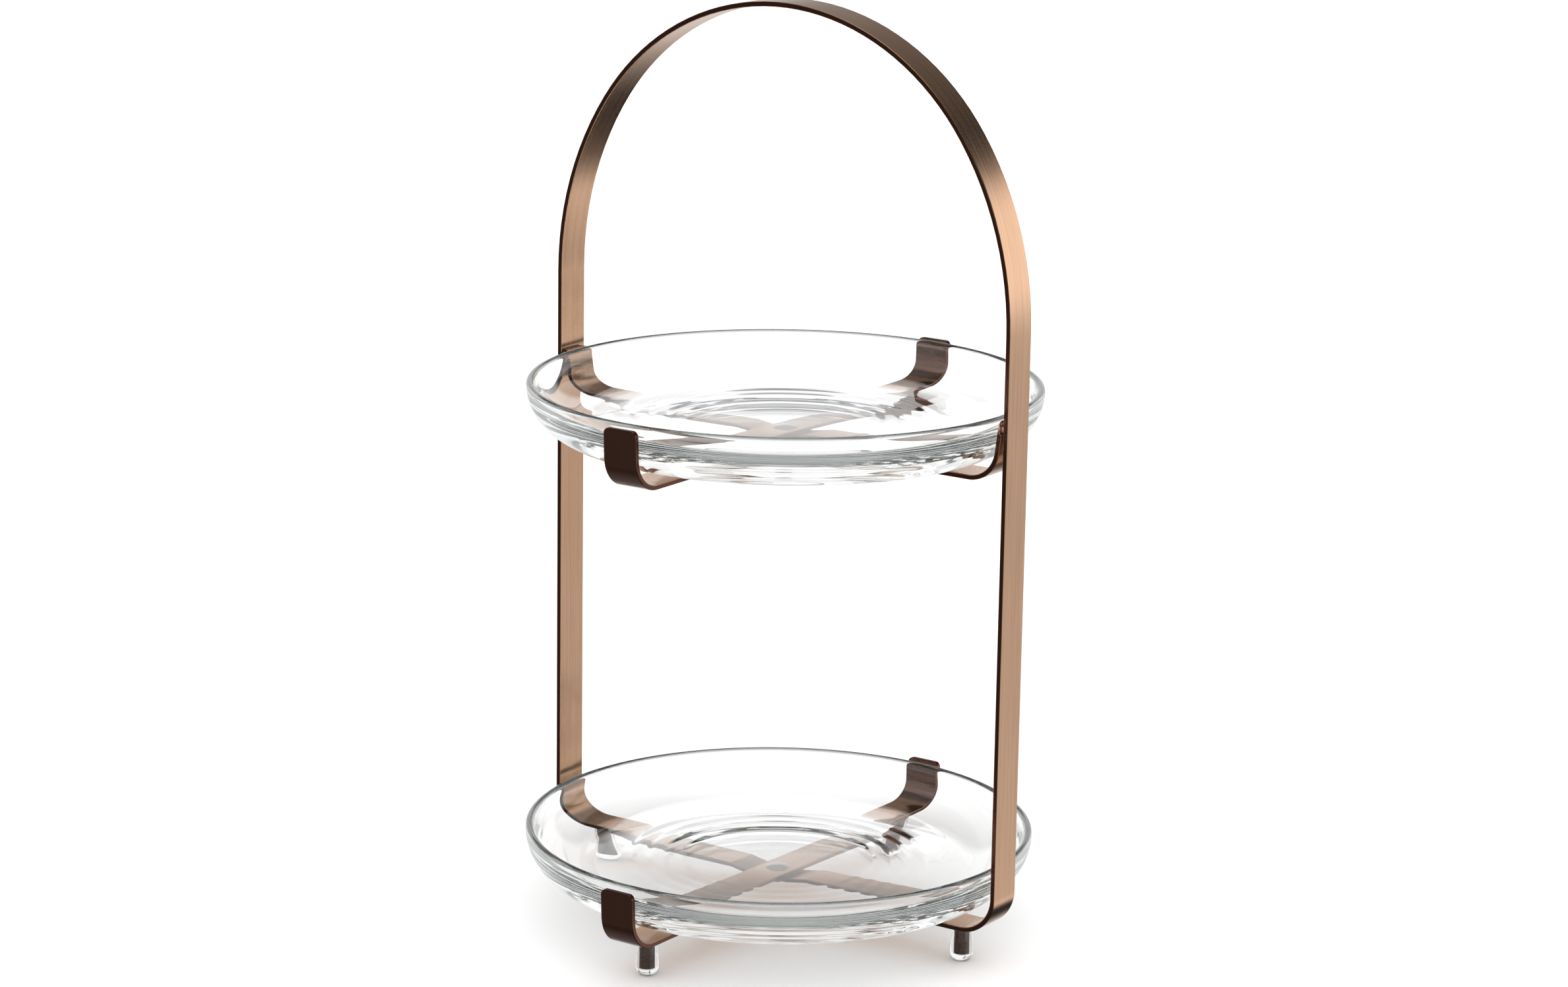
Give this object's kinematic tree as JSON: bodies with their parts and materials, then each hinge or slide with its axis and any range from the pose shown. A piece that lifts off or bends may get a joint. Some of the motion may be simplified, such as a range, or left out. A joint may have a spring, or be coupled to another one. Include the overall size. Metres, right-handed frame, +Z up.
{
  "type": "tiered cake stand",
  "caption": "Two-tier serving stand: one bent metal strip forms handle and legs, and crossed straps with turned-up clips carry loose pressed-glass plates.",
  "frame": {"origin": "on the table, under the middle of the stand, level with the small flats under the four feet", "axes": "+Z up; the handle arch stands in the XZ plane, with its two legs at -X and +X; the free-standing clips face -Y (front) and +Y (back)"},
  "size_m": [0.27, 0.273, 0.4653],
  "materials": {
    "copper_strip": "antique copper plating on steel strip, brushed lengthwise, darkened edges",
    "copper_weld": "plated weld bead, smooth",
    "dark_fastener": "dark bronze, satin",
    "steel_screw": "plain plated steel, satin",
    "clear_cap": "clear soft plastic, glossy",
    "clear_glass": "clear pressed glass, polished, faint green at thick edges"
  },
  "bodies": {
    "stand": {"arch_frame": "copper_strip", "lower_cross_strap": "copper_strip", "upper_cross_strap": "copper_strip", "upper_side_strap": "copper_strip", "left_tier_welds": "copper_weld", "right_tier_welds": "copper_weld", "lower_centre_screw": "steel_screw", "upper_centre_screw": "steel_screw", "lower_centre_nut": "dark_fastener", "upper_centre_nut": "dark_fastener", "left_foot_stud": "dark_fastener", "right_foot_stud": "dark_fastener", "front_foot_stud": "dark_fastener", "back_foot_stud": "dark_fastener", "left_foot_cap": "clear_cap", "right_foot_cap": "clear_cap", "front_foot_cap": "clear_cap", "back_foot_cap": "clear_cap"},
    "lower_plate": {"lower_plate": "clear_glass"},
    "upper_plate": {"upper_plate": "clear_glass"}
  },
  "joints": [
    {"name": "lower_plate_lift", "type": "slide", "parent": "stand", "child": "lower_plate", "axis": [0, 0, 1], "range_m": [0, 0.19]},
    {"name": "upper_plate_lift", "type": "slide", "parent": "stand", "child": "upper_plate", "axis": [0, 0, 1], "range_m": [0, 0.07]}
  ]
}
